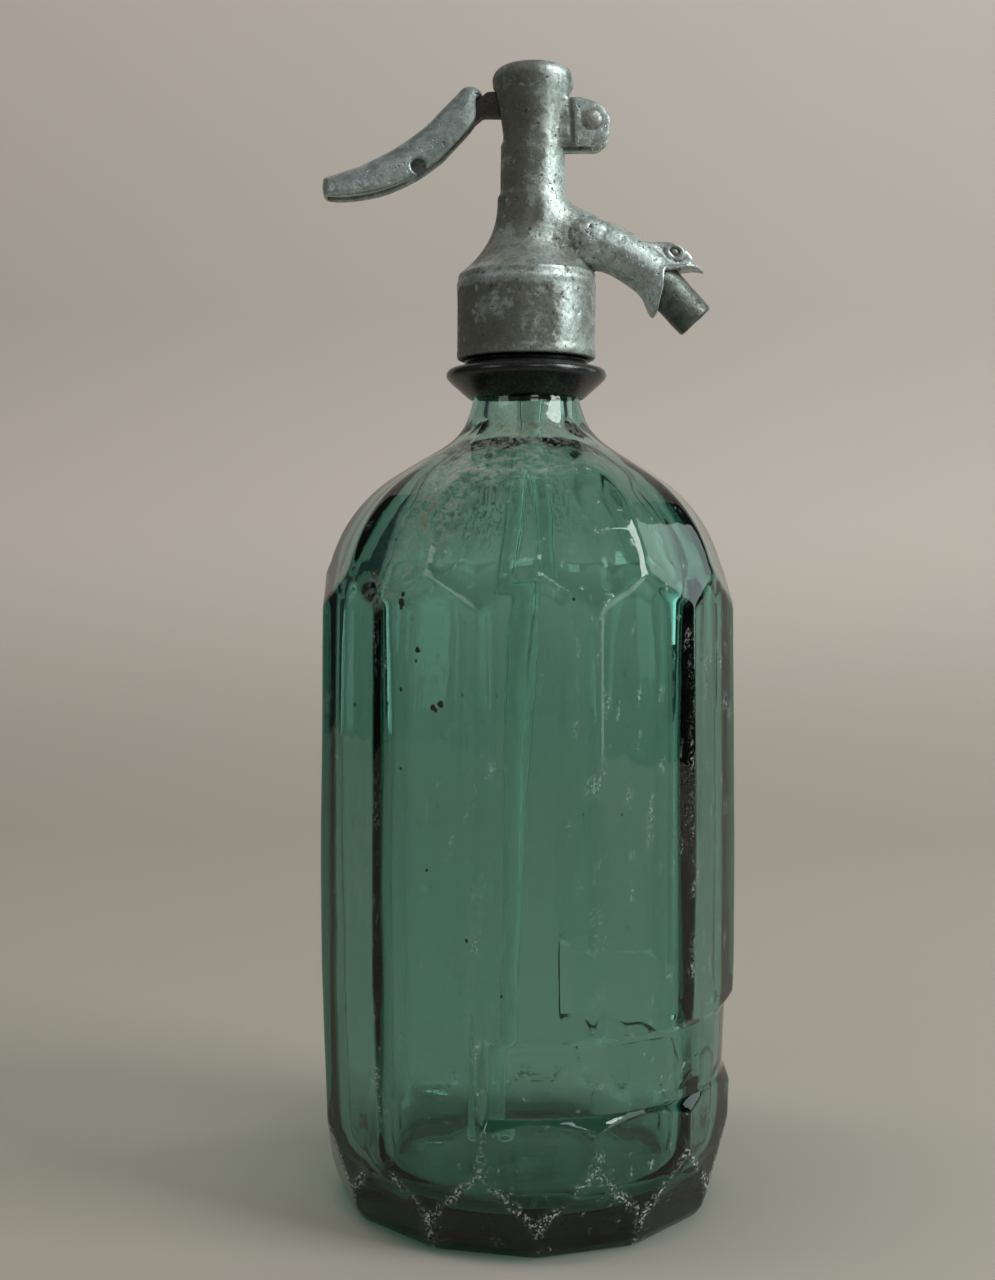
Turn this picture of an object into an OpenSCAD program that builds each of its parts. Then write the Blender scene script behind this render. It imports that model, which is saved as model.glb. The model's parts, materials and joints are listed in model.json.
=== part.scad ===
// Soda siphon: a twelve-sided glass bottle with a cast head, press lever and spout.
// Z is up, the bottle's axis is the Z axis and the table is z = 0.
// The spout points to +X and the lever to -X, both in the XZ plane.

/* [Glass bottle] */
// Distance from the axis to the vertical corners of the glass
corner_r = 52.4; // [51.5:0.1:53.5]
// Height of the glass mouth above the table
mouth_z = 220; // [219.5:0.1:220]
// Thickness of the glass wall, from the flats inwards
wall = 8.0; // [7:0.1:8.5]
// Number of flat sides
sides = 12; // [12]
// Turn of the first vertical corner, counted from the front (-Y) towards the spout
corner_turn = 18; // [0:1:29]
// Radius of the bore through the neck
neck_bore_r = 9; // [8.9:0.05:9.2]

/* [Neck collar] */
// Largest radius of the black collar
collar_r = 19.85; // [19:0.05:20.5]
// Gap between the two halves of the collar
collar_gap = 0.3; // [0.1:0.1:0.6]

/* [Head] */
// Outer radius of the skirt that screws on to the collar
skirt_r = 17.2; // [17:0.1:17.6]
// Radius of the barrel at its waist
barrel_r = 7.96; // [7.8:0.02:8.2]
// Height of the top of the barrel above the table
head_top = 279.4; // [279.2:0.1:280]
// Distance from the bottle's axis to the barrel's axis: the casting is off centre
barrel_x = 1.6; // [1.4:0.1:1.8]
// Radius of the centre line of the curved spout
spout_bend_r = 45; // [45]
// Outer radius of the spout
spout_r = 5.8; // [5.7:0.05:6]

/* [Nozzle] */
// Outer radius of the nozzle tube
nozzle_r = 4.97; // [4.9:0.01:5]
// Radius of the bore of the nozzle tube
nozzle_bore_r = 3.4; // [3:0.1:3.6]
// Length of the nozzle tube outside the spout
nozzle_out = 7.9; // [6:0.1:9]

/* [Lever] */
// Distance of the pivot pin from the bottle's axis
pin_x = 15.8; // [15.6:0.1:16]
// Height of the pivot pin above the table
pin_z = 265.1; // [264.9:0.1:265.3]
// Radius of the pivot pin
pin_r = 2.0; // [1.9:0.05:2]
// Thickness of the flat tongue that passes through the barrel
tongue_t = 4.6; // [4.4:0.1:4.8]
// Width of the thumb handle at its tip
tip_w = 10; // [9:0.2:10.4]
// Width of the thumb handle at its knee
knee_w = 7.2; // [7:0.1:8]

/* [Valve and dip tube] */
// Radius of the valve stem
stem_r = 1.5; // [1.4:0.05:1.5]
// Outer radius of the glass dip tube
tube_r = 3.7; // [3.6:0.05:3.7]
// Lean of the dip tube towards the lever side, in degrees
tube_lean = 2.5; // [0:0.5:3]

/* [Hidden] */
$fn = 96;
eps = 0.01;
run_gap = 0.06;            // radial gap of a running fit
fit_gap = 0.03;            // radial gap between parts of one body
flat_ratio = cos(180 / sides);
inside_r = corner_r * flat_ratio - wall;

// Glass
shoulder_c = [13.3, 147.95];   // centre of the round shoulder: radius, height
shoulder_arc_r = 36.8;
neck_c = [31.8, 201.65];       // centre of the hollow curve under the neck
neck_arc_r = 18.77;
foot_r = 45;
floor_z = 9.5;                 // inside floor of the bottle
neck_r = 13.0;                 // glass neck inside the collar
bead_r = 14.6;                 // bead that the collar halves hook under
bead_z = 213.6;

// Neck collar
collar_z0 = 198.2;
collar_top = 213.5;
thread_r = 15.35;
thread_pitch = 2.4;

// Head
skirt_z0 = 207.7;
skirt_top = 226.9;
skirt_bore_r = 15.5;
ceiling_z = 225;               // underside of the head, inside the skirt
dome_z = head_top - 3.8;       // widest level of the barrel's top
top_r = 10.1;
slot_w = 5.2;
slot_z0 = 260.6;
slot_z1 = 273.7;
ear_w = 10.4;
plunger_bore_r = 4.7;
gland_bore_r = 5.4;
gland_step_z = 248;            // shoulder between the two bores

// Spout: an arc in the XZ plane whose heading turns from root_dip to nozzle_dip below level
root_dip = 15;
nozzle_dip = 47.6;
spout_root = [13.4, 237.7];
bend_c = spout_root - spout_bend_r * [sin(root_dip), cos(root_dip)];
bend_end = bend_c + spout_bend_r * [sin(nozzle_dip), cos(nozzle_dip)];
rim_reach = 2.45;              // from the end of the bend to the rim of the spout
channel_r = 2.6;

// Lever
plunger_arm = pin_x - barrel_x;
nose_r = 3;
nose_z = 266.5;
cap_top = nose_z - nose_r - 0.3;
cap_z0 = 257.2;
tongue_bore_r = pin_r + run_gap;

// Dip tube
lean_z = 205;                  // height at which the tube's axis meets the barrel's axis
tube_top = 201.8;
cage_z0 = 209;                 // bottom of the valve cage's cup
tube_low = 13;

// Points of an arc round c, from angle a0 to a1, in n steps
function arc(c, r, a0, a1, n) =
  [for (i = [0:n]) let (a = a0 + (a1 - a0) * i / n) c + r * [cos(a), sin(a)]];

// Angle of the point of a circle at height z, on its outer (s = 1) or inner (s = -1) side
function side_angle(c, r, z, s) = s > 0 ? asin((z - c[1]) / r) : 180 - asin((z - c[1]) / r);

// Corner radius against height for the shoulder, the neck curve and the base
function dome_outline() = concat(
  [[foot_r, 0], [foot_r + 1.4, 0.8], [foot_r + 2.6, 2.8], [foot_r + 3.5, 5.4]],
  [[foot_r + 4.4, 8.7], [foot_r + 7.9, 21], [corner_r + 5, 40], [corner_r + 5, 135]],
  [[corner_r + 1.3, 146.8]],
  arc(shoulder_c, shoulder_arc_r, side_angle(shoulder_c, shoulder_arc_r, 158, 1),
      side_angle(shoulder_c, shoulder_arc_r, 179.8, 1), 9),
  arc(neck_c, neck_arc_r, side_angle(neck_c, neck_arc_r, 184.4, -1),
      side_angle(neck_c, neck_arc_r, 196.3, -1), 5),
  [[13.7, 197.4]]
);

// Outline of the space inside the glass
function cavity_outline() = concat(
  [[0, floor_z], [25, floor_z - 0.8]],
  arc([inside_r - 11.4, floor_z + 10.4], 11.4, -90, 0, 6),
  [[inside_r, 60], [inside_r, 100]],
  arc([inside_r - 35.2, 145.5], 35.2, 0, 50, 9),
  arc([27.4, 200], neck_arc_r - 0.4, 220, 180, 5),
  [[neck_bore_r, 201], [neck_bore_r, mouth_z + 1], [0, mouth_z + 1]]
);

// Solid with an even number of sides whose corners follow an outline of [corner radius, height].
// The first corner is turned from the front (-Y) towards +X by the given angle.
module many_sided(outline, turn) {
  half = [for (p = outline) [p[0] * flat_ratio, p[1]]];
  far = len(half) - 1;
  both = concat(half, [for (i = [far : -1 : 0]) [-half[i][0], half[i][1]]]);
  intersection_for (k = [0 : sides / 2 - 1])
    rotate([0, 0, turn + 180 / sides + k * 360 / sides]) rotate([90, 0, 0])
      linear_extrude(150, center = true) polygon(both);
}

module glass_bottle() {
  color("seagreen") difference() {
    union() {
      intersection() {
        rotate([0, 0, corner_turn - 90]) cylinder(r = corner_r, h = 210, $fn = sides);
        many_sided(dome_outline(), corner_turn + 180 / sides);
      }
      rotate_extrude() polygon(concat(
        [[0, 190], [neck_r, 190], [neck_r, bead_z]],
        [[bead_r - 0.6, bead_z], [bead_r, bead_z + 0.8], [bead_r, mouth_z - 1.6]],
        [[bead_r - 1.2, mouth_z], [0, mouth_z]]
      ));
    }
    rotate_extrude() polygon(cavity_outline());
    label_recess();
  }
}

// Blank panel round half of the bottle, low down, cut only into the upright corners
module label_recess() {
  panel_r = corner_r * flat_ratio + 0.3;
  rotate([0, 0, corner_turn - 121.5]) rotate_extrude(angle = 180) polygon([
    [panel_r, 34], [panel_r, 50], [corner_r + 2, 54.5], [corner_r + 2, 29.5]
  ]);
}

module collar_profile() {
  polygon(concat(
    [[neck_r + 0.15, collar_z0 + 1.2], [14.2, collar_z0], [collar_r - 0.7, 202.5]],
    arc([collar_r - 1.55, 203.9], 1.55, -35, 110, 6),
    [[thread_r - 0.6, 205.9], [thread_r - 0.6, collar_top], [neck_r + 0.15, collar_top]]
  ));
  for (z = [207.2 : thread_pitch : collar_top - 1])
    polygon([
      [thread_r - 0.7, z - 0.8], [thread_r, z - 0.25], [thread_r, z + 0.25], [thread_r - 0.7, z + 0.8]
    ]);
}

module collar_half(turn) {
  cut = collar_gap / 2;
  color([0.08, 0.08, 0.08]) difference() {
    rotate([0, 0, turn]) rotate_extrude(angle = 180) collar_profile();
    translate([-30, -cut, 190]) cube([60, 2 * cut, 40]);
  }
}

module collar_half_front() { collar_half(180); }

module collar_half_rear() { collar_half(0); }

module ring(r_out, r_in, z0, z1) {
  translate([0, 0, z0]) difference() {
    cylinder(r = r_out, h = z1 - z0);
    translate([0, 0, -1]) cylinder(r = r_in, h = z1 - z0 + 2);
  }
}

module mouth_gasket() { color("saddlebrown") ring(13.6, neck_bore_r + 0.3, mouth_z, mouth_z + 1.5); }

module head_gasket() { color("saddlebrown") ring(14.4, 9.6, mouth_z + 3.5, ceiling_z); }

// Places its children, drawn along +Z, on the nozzle's axis with z = 0 at the spout's rim
module on_nozzle_axis() {
  rim = bend_end + rim_reach * [cos(nozzle_dip), -sin(nozzle_dip)];
  translate([rim[0], 0, rim[1]]) rotate([0, 90 + nozzle_dip, 0]) children();
}

// A bar of radius r along the curved centre line of the spout
module spout_bar(r) {
  translate([bend_c[0], 0, bend_c[1]]) rotate([90, 0, 0]) rotate([0, 0, 90 - nozzle_dip])
    rotate_extrude(angle = nozzle_dip - root_dip) translate([spout_bend_r, 0]) circle(r = r);
}

// An outline in the XZ plane, thickened evenly to both sides of it
module plate(points, t) {
  translate([0, t / 2, 0]) rotate([90, 0, 0]) linear_extrude(t) polygon(points);
}

module barrel_outside() {
  translate([barrel_x, 0, 0]) rotate_extrude() polygon(concat(
    [[0, 226], [barrel_r + 0.1, 226], [barrel_r, 262], [barrel_r + 0.35, 266]],
    [[top_r - 0.9, 271], [top_r - 0.2, 273.6]],
    arc([top_r - 3.4, dome_z], 3.4, 0, 62, 5),
    [[top_r - 5.1, head_top - 0.2], [0, head_top]]
  ));
}

// The hollow curve from the skirt up to the barrel
module flare_outside() {
  rotate_extrude() polygon(concat(
    [[0, 226], [skirt_r, 226], [skirt_r, skirt_top]],
    arc([30.4, 247.7], 23.6, 235, 181, 8),
    [[0, 247.7]]
  ));
}

module skirt_outside() {
  translate([0, 0, skirt_z0]) cylinder(r = skirt_r, h = skirt_top - skirt_z0);
}

// Lug on the spout side of the barrel, later slotted into two ears for the pin
module ear_lug() {
  plate([[6, 259.2], [17, 259.2], [20.6, 262.8], [20.6, 266.8], [16.6, 270.8], [6, 270.8]], ear_w);
  for (c = [[16.8, 263.0, 3.8], [16.6, 266.8, 4.0]])
    translate([c[0], ear_w / 2, c[1]]) rotate([90, 0, 0]) cylinder(r = c[2], h = ear_w);
}

module spout_outside() {
  spout_bar(spout_r);
  // Thick root, from inside the barrel to the start of the bend
  translate([spout_root[0], 0, spout_root[1]]) rotate([0, 90 + root_dip, 0])
    translate([0, 0, -10]) cylinder(r1 = 7.3, r2 = spout_r, h = 10);
  on_nozzle_axis() translate([0, 0, -7]) cylinder(r1 = spout_r + 0.1, r2 = 7.3, h = 7.3);
  plate([[28, 235], [32.2, 237.2], [36.5, 236.2], [40.9, 233.0], [43.8, 228.9], [34, 227]], 2.6);
}

// Space in front of the spout's rim, shaped so that a beak is left above and below the nozzle
module rim_cut() {
  plate([
    [31.2, 217.6], [33.9, 228.6], [37.2, 230.2], [41.1, 230.7], [44.2, 228.2], [54, 222], [40, 204]
  ], 30);
}

module head_casting() {
  color("darkgray") difference() {
    union() {
      barrel_outside();
      flare_outside();
      skirt_outside();
      ear_lug();
      difference() {
        spout_outside();
        rim_cut();
      }
    }
    // Threaded space for the collar, drawn smooth
    translate([0, 0, skirt_z0 - 1]) cylinder(r = skirt_bore_r, h = ceiling_z - skirt_z0 + 1);
    translate([barrel_x, 0, 0]) {
      translate([0, 0, ceiling_z - 1]) cylinder(r = gland_bore_r, h = gland_step_z - ceiling_z + 1);
      translate([0, 0, gland_step_z - 1]) cylinder(r = plunger_bore_r, h = 275.2 - gland_step_z);
    }
    // Slot for the tongue, through both sides of the barrel and between the ears
    translate([-12, -slot_w / 2, slot_z0]) cube([34, slot_w, slot_z1 - slot_z0]);
    translate([9, -slot_w / 2, 258]) cube([13, slot_w, slot_z1 - 258]);
    translate([pin_x, 20, pin_z]) rotate([90, 0, 0]) cylinder(r = pin_r + fit_gap, h = 40);
    // Water way: chamber, spout, nozzle socket
    spout_bar(channel_r);
    chamber_way();
    on_nozzle_axis() translate([0, 0, -6]) cylinder(r = nozzle_r + fit_gap, h = 20);
    // Shallow grooves where the ears leave the barrel
    for (s = [-1, 1])
      translate([11.2, s * ear_w / 2, 264]) rotate([0, 6, 0]) cube([1.4, 1.2, 16], center = true);
  }
}

// Straight hole from the chamber in the barrel to the start of the bend
module chamber_way() {
  from = [barrel_x, 234.2];
  run = spout_root - from;
  translate([from[0], 0, from[1]]) rotate([0, 90 - atan2(run[1], run[0]), 0])
    cylinder(r = channel_r, h = norm(run) + 0.6);
}

module nozzle_tube() {
  color("gray") on_nozzle_axis() difference() {
    translate([0, 0, -5.9]) cylinder(r = nozzle_r, h = 5.9 + nozzle_out);
    translate([0, 0, -8]) cylinder(r = nozzle_bore_r, h = 12 + nozzle_out);
  }
}

// Side view of the thumb handle: hollow curve above, knee at the barrel, curved underside
function handle_outline() = concat(
  [[-50.2, 252.6]],
  arc([-62.5, 309.6], 58.3, -76, -48, 8),
  arc([-13.9, 271.4], 3.3, 135, 0, 6),
  [[-10.7, 268.2], [-12.0, 265.7]],
  arc([-46.5, 287], 39.8, -49, -91, 8),
  [[-49.6, 248.0]]
);

// The trough under the handle
function trough_outline() = concat(
  arc([-62.5, 309.6], 60.2, -77.5, -49, 8),
  [[-15.4, 271.4], [-13.6, 272.2], [-12.2, 271.1], [-9.4, 273.2], [-9, 262], [-24, 246], [-48.5, 244]]
);

module lever_handle() {
  color("silver") difference() {
    intersection() {
      plate(handle_outline(), tip_w);
      translate([0, 0, 240]) linear_extrude(40) polygon([
        [-55, -tip_w / 2], [-44, -tip_w / 2], [-26, -knee_w / 2], [-5, -knee_w / 2],
        [-5, knee_w / 2], [-26, knee_w / 2], [-44, tip_w / 2], [-55, tip_w / 2]
      ]);
    }
    plate(trough_outline(), tongue_t + 2 * fit_gap);
    // Round hole, through the front wall of the trough only
    translate([-26.5, 0, 254.7]) rotate([90, 0, 0]) cylinder(r = 1.8, h = 10);
  }
}

module lever_tongue() {
  color("dimgray") difference() {
    union() {
      plate([
        [-13.2, 271.6], [-12.2, 270.8], [-9.6, 272.8], [-5, 273], [2, 272.6], [15, 269.05],
        [15.8, 261.1], [8, 264.2], [1.6, 264.6], [-6, 266.9], [-10.6, 267], [-12.6, 265.4],
        [-19.4, 259.2], [-22.6, 262.6], [-15.3, 271.2]
      ], tongue_t);
      translate([pin_x, tongue_t / 2, pin_z]) rotate([90, 0, 0]) cylinder(r = 4, h = tongue_t);
      translate([barrel_x, tongue_t / 2, nose_z]) rotate([90, 0, 0]) cylinder(r = nose_r, h = tongue_t);
    }
    translate([pin_x, 10, pin_z]) rotate([90, 0, 0]) cylinder(r = tongue_bore_r, h = 20);
  }
}

module lever_pin() {
  half = ear_w / 2 + 0.02;
  color("dimgray") translate([pin_x, 0, pin_z]) rotate([90, 0, 0]) {
    cylinder(r = pin_r, h = 2 * half, center = true);
    for (s = [0, 180])
      rotate([s, 0, 0]) translate([0, 0, half]) cylinder(r1 = pin_r + 0.6, r2 = pin_r - 0.2, h = 0.8);
  }
}

// Places its children on the axis of the barrel and valve
module on_valve_axis(z) { translate([barrel_x, 0, z]) children(); }

module plunger_cap() {
  color("peru") on_valve_axis(cap_z0) difference() {
    cylinder(r = plunger_bore_r - run_gap, h = cap_top - cap_z0);
    translate([0, 0, -1]) cylinder(r = stem_r + fit_gap, h = 4);
  }
}

module valve_stem() {
  color("peru") on_valve_axis(217.4) cylinder(r = stem_r, h = cap_z0 + 2.9 - 217.4);
}

// Coil of square wire drawn as stacked rings joined by a thin sleeve of wire
module return_spring() {
  turns = 5;
  z0 = gland_step_z + 0.9;
  pitch = (cap_z0 - z0 - 1) / (turns - 1);
  color("silver") on_valve_axis(z0) {
    for (i = [0 : turns - 1])
      translate([0, 0, i * pitch]) ring(4.2, 3.3, 0, 0.9);
    for (i = [0 : turns - 2])
      rotate([0, 0, i * 180]) translate([3.4, -0.4, i * pitch + 0.4]) cube([0.7, 0.8, pitch]);
  }
}

module spring_washer() {
  color("silver") on_valve_axis(0) ring(plunger_bore_r - 0.1, stem_r + run_gap, gland_step_z, gland_step_z + 0.8);
}

module stem_packing() {
  color([0.15, 0.12, 0.1]) on_valve_axis(0) ring(gland_bore_r - fit_gap, stem_r + run_gap, 244.5, gland_step_z);
}

module gland_nut() {
  color("peru") on_valve_axis(0) difference() {
    ring(gland_bore_r - fit_gap, stem_r + run_gap, 240.8, 244.5);
    // Screwdriver slot, in the lower face
    translate([-6, -0.6, 240]) cube([12, 1.2, 2]);
  }
}

module valve_seat() {
  color("peru") on_valve_axis(0) {
    ring(gland_bore_r - fit_gap, 2.6, ceiling_z + 0.2, 230);
    ring(3.4, 2.6, ceiling_z - 0.4, ceiling_z + 0.3);
  }
}

module valve_washer() {
  color([0.12, 0.1, 0.1]) on_valve_axis(0) ring(4.2, stem_r + fit_gap, 221.8, ceiling_z - 0.5);
}

module washer_cup() {
  color("peru") on_valve_axis(0) {
    ring(4.9, stem_r + fit_gap, 220.6, 221.8);
    ring(4.9, 4.25, 221.7, 223.8);
  }
}

module stem_nut() {
  color("peru") on_valve_axis(218.4) difference() {
    cylinder(r = 3.1, h = 2.2, $fn = 6);
    translate([0, 0, -1]) cylinder(r = stem_r + fit_gap, h = 5);
  }
}

module valve_cage() {
  color("lightgray") on_valve_axis(0) difference() {
    union() {
      translate([-barrel_x, 0, mouth_z + 1.5]) cylinder(r = 14.2, h = 2);
      translate([0, 0, cage_z0]) cylinder(r = 7.2, h = 222 - cage_z0);
      translate([0, 0, tube_top + 0.2]) cylinder(r = tube_r - 0.35, h = 8);
    }
    translate([0, 0, cage_z0 + 2]) cylinder(r = 5.7, h = 20);
    translate([0, 0, tube_top - 1]) cylinder(r = 2.2, h = 12);
  }
}

// Places its children on the leaning axis of the dip tube, drawn in true height
module on_tube_axis() {
  translate([barrel_x, 0, lean_z]) rotate([0, tube_lean, 0]) translate([0, 0, -lean_z]) children();
}

module tube_sleeve() {
  color([0.45, 0.2, 0.12]) on_tube_axis() ring(5.4, tube_r + fit_gap, 197.8, cage_z0 - 0.3);
}

module dip_tube() {
  color("paleturquoise") on_tube_axis() ring(tube_r, tube_r - 1.2, tube_low, tube_top);
}

glass_bottle();
collar_half_front();
collar_half_rear();
mouth_gasket();
head_gasket();
head_casting();
nozzle_tube();
lever_handle();
lever_tongue();
lever_pin();
plunger_cap();
valve_stem();
return_spring();
spring_washer();
stem_packing();
gland_nut();
valve_seat();
valve_washer();
washer_cup();
stem_nut();
valve_cage();
tube_sleeve();
dip_tube();
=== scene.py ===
"""Soda siphon: twelve-sided green glass bottle, cast head with spout, press lever and dip tube.
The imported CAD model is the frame. Shapes are worked out in millimetres and made in metres."""

import json
import math

import bmesh
import bpy
import numpy as np
import openvdb
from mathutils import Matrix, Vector


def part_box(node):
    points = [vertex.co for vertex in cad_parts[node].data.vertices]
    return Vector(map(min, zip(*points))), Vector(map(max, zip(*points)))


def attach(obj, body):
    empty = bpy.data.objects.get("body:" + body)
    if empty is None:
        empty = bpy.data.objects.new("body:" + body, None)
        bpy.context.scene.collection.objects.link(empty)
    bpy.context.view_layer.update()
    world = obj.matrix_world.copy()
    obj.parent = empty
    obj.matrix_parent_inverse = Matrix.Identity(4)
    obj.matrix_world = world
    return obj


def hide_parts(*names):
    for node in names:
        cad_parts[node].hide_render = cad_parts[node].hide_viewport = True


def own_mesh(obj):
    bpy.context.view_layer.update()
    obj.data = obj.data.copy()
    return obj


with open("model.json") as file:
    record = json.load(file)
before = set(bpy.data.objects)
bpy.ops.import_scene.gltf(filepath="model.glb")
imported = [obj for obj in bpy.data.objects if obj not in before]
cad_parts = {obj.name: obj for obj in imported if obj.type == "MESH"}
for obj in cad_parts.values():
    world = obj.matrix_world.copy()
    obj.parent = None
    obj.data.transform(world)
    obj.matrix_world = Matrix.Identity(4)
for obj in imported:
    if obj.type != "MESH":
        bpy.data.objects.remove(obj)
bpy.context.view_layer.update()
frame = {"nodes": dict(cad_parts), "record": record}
MM = 0.001


def box_mm(node):
    low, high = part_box(node)
    return np.array(low) / MM, np.array(high) / MM


# ---------------- places taken from the frame
glass_high = box_mm("glass_bottle")[1]
head_low, head_high = box_mm("head_casting")
pin_low, pin_high = box_mm("lever_pin")
cap_low, cap_high = box_mm("plunger_cap")
spring_low, spring_high = box_mm("return_spring")
tongue_low, tongue_high = box_mm("lever_tongue")
collar_low, collar_high = box_mm("collar_half_front")
packing_low, packing_high = box_mm("stem_packing")

MOUTH_Z = glass_high[2]
HEAD_TOP = head_high[2]
DOME_Z = 275.6
SKIRT_Z0 = head_low[2]
SKIRT_R = head_high[1]
BARREL_X = (cap_low[0] + cap_high[0]) / 2
PLUNGER_R = (cap_high[0] - cap_low[0]) / 2 + 0.06
GLAND_R = (packing_high[0] - packing_low[0]) / 2 + 0.03
GLAND_TOP = packing_high[2]
PIN_X = (pin_low[0] + pin_high[0]) / 2
PIN_Z = (pin_low[2] + pin_high[2]) / 2
TONGUE_T = tongue_high[1] - tongue_low[1]
COLLAR_R = collar_high[0]
COLLAR_Z0, COLLAR_TOP = collar_low[2], collar_high[2]

# ---------------- small tools


def arc(centre, r, a0, a1, n):
    """Points of an arc about centre from a0 to a1 degrees, in n steps."""
    a = np.radians(np.linspace(a0, a1, n + 1))
    return [(centre[0] + r * math.cos(t), centre[1] + r * math.sin(t)) for t in a]


def smin(a, b, k):
    h = np.clip(k - np.abs(a - b), 0, None) / k
    return np.minimum(a, b) - h * h * k * 0.25


def smax(a, b, k):
    return -smin(-a, -b, k)


def smoothstep(a, b, x):
    t = np.clip((x - a) / (b - a), 0, 1)
    return t * t * (3 - 2 * t)


def noise3(p, size, seed):
    """Smooth noise from -1 to 1 at points p, with features of the given size."""
    q = p / np.asarray(size, float)
    i = np.floor(q).astype(np.int64)
    f = q - i
    f = f * f * (3 - 2 * f)
    total = np.zeros(len(p))
    for corner in range(8):
        d = [(corner >> k) & 1 for k in range(3)]
        h = (i[:, 0] + d[0]) * 374761393 + (i[:, 1] + d[1]) * 668265263
        h = h + (i[:, 2] + d[2]) * 1440662683 + seed * 974634777
        h = (h ^ (h >> 13)) * 1274126177
        h = (h ^ (h >> 16)) & 0xFFFF
        w = np.prod([f[:, k] if d[k] else 1 - f[:, k] for k in range(3)], axis=0)
        total += w * (h / 32767.5 - 1)
    return total


def fractal(p, size, seed, octaves=3):
    size = np.asarray(size, float)
    return sum(noise3(p, size / 2**o, seed + 31 * o) / 2**o for o in range(octaves))


def in_scene(name, data):
    obj = bpy.data.objects.new(name, data)
    bpy.context.scene.collection.objects.link(obj)
    return obj


def to_object(name, points, faces, body, replaced, material, sharp=None):
    """A smooth piece from points in millimetres, riding on a body. Edges past sharp degrees stay sharp."""
    mesh = bpy.data.meshes.new(name)
    mesh.from_pydata((np.asarray(points, float) * MM).tolist(), [], [tuple(f) for f in faces])
    bm = bmesh.new()
    bm.from_mesh(mesh)
    bmesh.ops.recalc_face_normals(bm, faces=bm.faces)
    if bm.calc_volume(signed=True) < 0:
        bmesh.ops.reverse_faces(bm, faces=bm.faces)
    for face in bm.faces:
        face.smooth = True
    if sharp is not None:
        limit = math.radians(sharp)
        for edge in bm.edges:
            if len(edge.link_faces) == 2 and edge.calc_face_angle(0) > limit:
                edge.smooth = False
    bm.to_mesh(mesh)
    bm.free()
    piece = in_scene(name, mesh)
    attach(piece, body)
    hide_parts(*replaced)
    paint(piece, material)
    return piece


def set_attribute(piece, name, values):
    a = piece.data.attributes.new(name, "FLOAT", "POINT")
    a.data.foreach_set("value", np.asarray(values, np.float32))


def read_vectors(items, name):
    values = np.empty(len(items) * 3)
    items.foreach_get(name, values)
    return values.reshape(-1, 3)


def vertices_of(piece):
    return read_vectors(piece.data.vertices, "co") / MM


def push(piece, amount):
    """Moves each vertex along its normal by an amount in millimetres."""
    normals = read_vectors(piece.data.vertex_normals, "vector")
    co = vertices_of(piece) + normals * np.asarray(amount)[:, None]
    piece.data.vertices.foreach_set("co", (co * MM).ravel())
    piece.data.update()


# ---------------- solids from distance fields


class Field:
    """A block of space in millimetres, with x, y and z laid out for broadcasting."""

    def __init__(self, low, high, step):
        self.low, self.step = np.asarray(low, float), step
        x, y, z = [np.arange(a, b + step, step) for a, b in zip(low, high)]
        self.x = x[:, None, None].astype(np.float32)
        self.y = y[None, :, None].astype(np.float32)
        self.z = z[None, None, :].astype(np.float32)

    def flat(self, points):
        """Distance to an outline in the XZ plane."""
        return sd_polygon(self.x, self.z, points)

    def turned(self, points, x0=0.0):
        """Distance to a solid turned about the vertical line at x0, from its (radius, z) outline."""
        rho = np.sqrt((self.x - x0) ** 2 + self.y**2)[:, :, 0]
        fine = 0.1
        radii = np.arange(0, rho.max() + 2 * fine, fine)
        sheet = sd_polygon(radii[:, None], self.z[0], points).astype(np.float32)
        i = np.floor(rho / fine).astype(int)
        w = (rho / fine - i)[:, :, None].astype(np.float32)
        return sheet[i] * (1 - w) + sheet[i + 1] * w

    def rod(self, axis_xz, direction, r, s0, s1):
        """Distance to a round bar in the XZ plane, from s0 to s1 along its direction."""
        s, off = along(self.x - axis_xz[0], self.z - axis_xz[1], direction)
        return np.maximum(np.sqrt(off**2 + self.y**2) - r, np.maximum(s0 - s, s - s1))

    def mesh(self, field):
        """Vertices and quads of the surface where the field is zero, with its edges eased a little."""
        for axis in range(3):
            f = np.moveaxis(field, axis, 0)
            eased = f.copy()
            eased[1:-1] = 0.25 * f[:-2] + 0.5 * f[1:-1] + 0.25 * f[2:]
            field = np.moveaxis(eased, 0, axis)
        grid = openvdb.FloatGrid(5.0)
        grid.copyFromArray(np.ascontiguousarray(field, np.float32))
        points, quads = grid.convertToQuads(isovalue=0.0)
        return points * self.step + self.low, quads


def sd_polygon(u, v, points):
    """Signed distance to a closed outline, negative inside."""
    points = np.asarray(points, np.float32)
    shape = np.broadcast(u, v).shape
    best = np.full(shape, 1e9, np.float32)
    sign = np.ones(shape, np.float32)
    for i in range(len(points)):
        a, b = points[i], points[i - 1]
        e = b - a
        wu, wv = u - a[0], v - a[1]
        t = np.clip((wu * e[0] + wv * e[1]) / (e @ e), 0, 1)
        best = np.minimum(best, (wu - t * e[0]) ** 2 + (wv - t * e[1]) ** 2)
        c1, c2, c3 = v >= a[1], v < b[1], e[0] * wv > e[1] * wu
        sign = np.where((c1 & c2 & c3) | (~c1 & ~c2 & ~c3), -sign, sign)
    return sign * np.sqrt(best)


def along(u, v, direction):
    """Length along a direction, and distance off it, in the XZ plane."""
    return u * direction[0] + v * direction[1], u * direction[1] - v * direction[0]


# ---------------- material tools


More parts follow.
